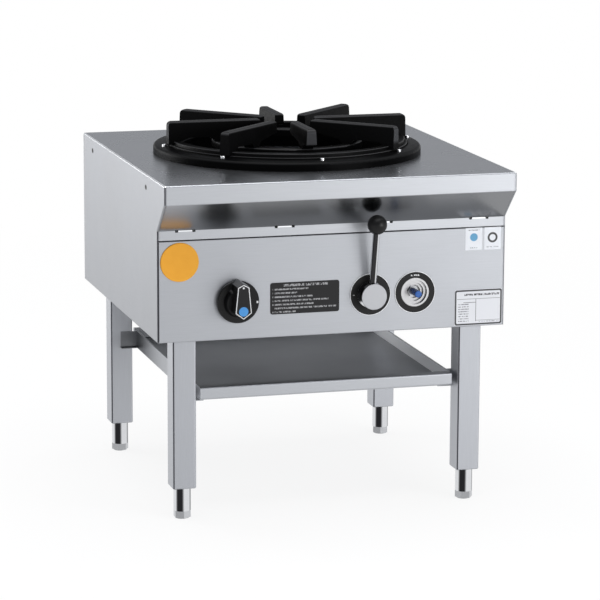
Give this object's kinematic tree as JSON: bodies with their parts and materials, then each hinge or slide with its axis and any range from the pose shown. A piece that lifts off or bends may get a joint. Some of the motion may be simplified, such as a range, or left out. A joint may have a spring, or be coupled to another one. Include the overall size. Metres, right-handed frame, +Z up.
{
  "type": "stock pot range",
  "caption": "Low free-standing gas range with one large ring burner under a finned cast trivet, folded stainless housing, square legs and a storage shelf.",
  "frame": {"origin": "on the floor under the middle of the housing's footprint", "axes": "+X to the range's right seen from the front, +Y to its back, +Z up"},
  "size_m": [0.6, 0.632, 0.6365],
  "materials": {
    "stainless_sheet": "brushed stainless steel sheet",
    "stainless_tube": "brushed stainless steel square tube",
    "cast_iron_ring": "black enamelled cast iron",
    "cast_iron_trivet": "black enamelled cast iron",
    "cast_iron_burner": "raw cast iron",
    "zinc_steel": "zinc-plated steel",
    "gas_pipe": "zinc-plated steel pipe",
    "brass": "turned brass",
    "chrome": "bright chrome plate",
    "steel_disc": "satin steel",
    "black_plastic": "satin black phenolic plastic",
    "black_plate": "flat black printed plate",
    "blue_plastic": "glossy blue plastic",
    "ceramic": "glazed white ceramic",
    "lead_cover": "silicone rubber insulation",
    "plate_silver": "thin printed aluminium plate",
    "label_pale": "thin pale film label",
    "label_orange": "domed orange resin sticker"
  },
  "bodies": {
    "frame": {"hob_top": "stainless_sheet", "side_panel_left": "stainless_sheet", "side_panel_right": "stainless_sheet", "front_panel": "stainless_sheet", "back_panel": "stainless_sheet", "base_pan": "stainless_sheet", "casing_screws": "zinc_steel", "leg_end_plugs": "stainless_tube", "foot_sleeves": "chrome", "leg_bolts": "zinc_steel", "shelf_tray": "stainless_sheet", "shelf_rail_left": "stainless_sheet", "shelf_rail_right": "stainless_sheet", "burner_ring": "cast_iron_ring", "ring_screws": "zinc_steel", "burner_body": "cast_iron_burner", "burner_head": "cast_iron_burner", "mixing_tube": "cast_iron_burner", "burner_stand": "zinc_steel", "injector": "brass", "gas_manifold": "gas_pipe", "gas_inlet": "brass", "tap_body": "brass", "lever_valve_body": "brass", "lever_collar": "chrome", "lever_bezel": "black_plate", "button_bezel": "black_plate", "button_cup": "steel_disc", "button_nut": "chrome", "igniter_body": "black_plastic", "main_feed_pipe": "gas_pipe", "pilot_pipe": "gas_pipe", "pilot_burner": "brass", "thermocouple": "zinc_steel", "ignition_electrode": "ceramic", "igniter_lead": "lead_cover", "instruction_plate": "black_plate", "rating_plate": "plate_silver", "pale_labels": "label_pale", "orange_sticker": "label_orange", "leg_front_left": "stainless_tube", "leg_front_right": "stainless_tube", "leg_back_left": "stainless_tube", "leg_back_right": "stainless_tube"},
    "trivet": {"trivet": "cast_iron_trivet"},
    "tap_plug": {"tap_plug": "brass"},
    "knob": {"knob_spindle": "brass", "gas_knob": "black_plastic", "knob_plate": "black_plate"},
    "lever": {"lever_spindle": "brass", "lever_hub": "black_plastic", "lever_cap": "steel_disc", "lever_rod": "chrome", "lever_ball": "black_plastic"},
    "push_button": {"push_button": "blue_plastic"},
    "air_shutter": {"air_shutter": "zinc_steel"},
    "foot_front_left": {"foot_front_left": "zinc_steel"},
    "foot_front_right": {"foot_front_right": "zinc_steel"},
    "foot_back_left": {"foot_back_left": "zinc_steel"},
    "foot_back_right": {"foot_back_right": "zinc_steel"}
  },
  "joints": [
    {"name": "trivet_lift", "type": "slide", "parent": "frame", "child": "trivet", "axis": [0, 0, 1], "range_m": [0, 0.12]},
    {"name": "knob_turn", "type": "hinge", "parent": "frame", "child": "tap_plug", "pos_m": [-0.165, -0.2615, 0.3725], "axis": [0, -1, 0], "range_deg": [0, 180]},
    {"name": "knob_push", "type": "slide", "parent": "tap_plug", "child": "knob", "axis": [0, 1, 0], "range_m": [0, 0.003], "stiffness_N_per_m": 1500, "springref_m": -0.003},
    {"name": "lever_turn", "type": "hinge", "parent": "frame", "child": "lever", "pos_m": [0.064, -0.2615, 0.3725], "axis": [0, -1, 0], "range_deg": [0, 90]},
    {"name": "button_push", "type": "slide", "parent": "frame", "child": "push_button", "axis": [0, 1, 0], "range_m": [0, 0.006], "stiffness_N_per_m": 500, "springref_m": -0.004},
    {"name": "air_shutter_slide", "type": "slide", "parent": "frame", "child": "air_shutter", "axis": [0, 1, 0], "range_m": [-0.012, 0.008]},
    {"name": "foot_front_left_screw", "type": "slide", "parent": "frame", "child": "foot_front_left", "axis": [0, 0, -1], "range_m": [0, 0.03]},
    {"name": "foot_front_right_screw", "type": "slide", "parent": "frame", "child": "foot_front_right", "axis": [0, 0, -1], "range_m": [0, 0.03]},
    {"name": "foot_back_left_screw", "type": "slide", "parent": "frame", "child": "foot_back_left", "axis": [0, 0, -1], "range_m": [0, 0.03]},
    {"name": "foot_back_right_screw", "type": "slide", "parent": "frame", "child": "foot_back_right", "axis": [0, 0, -1], "range_m": [0, 0.03]}
  ]
}
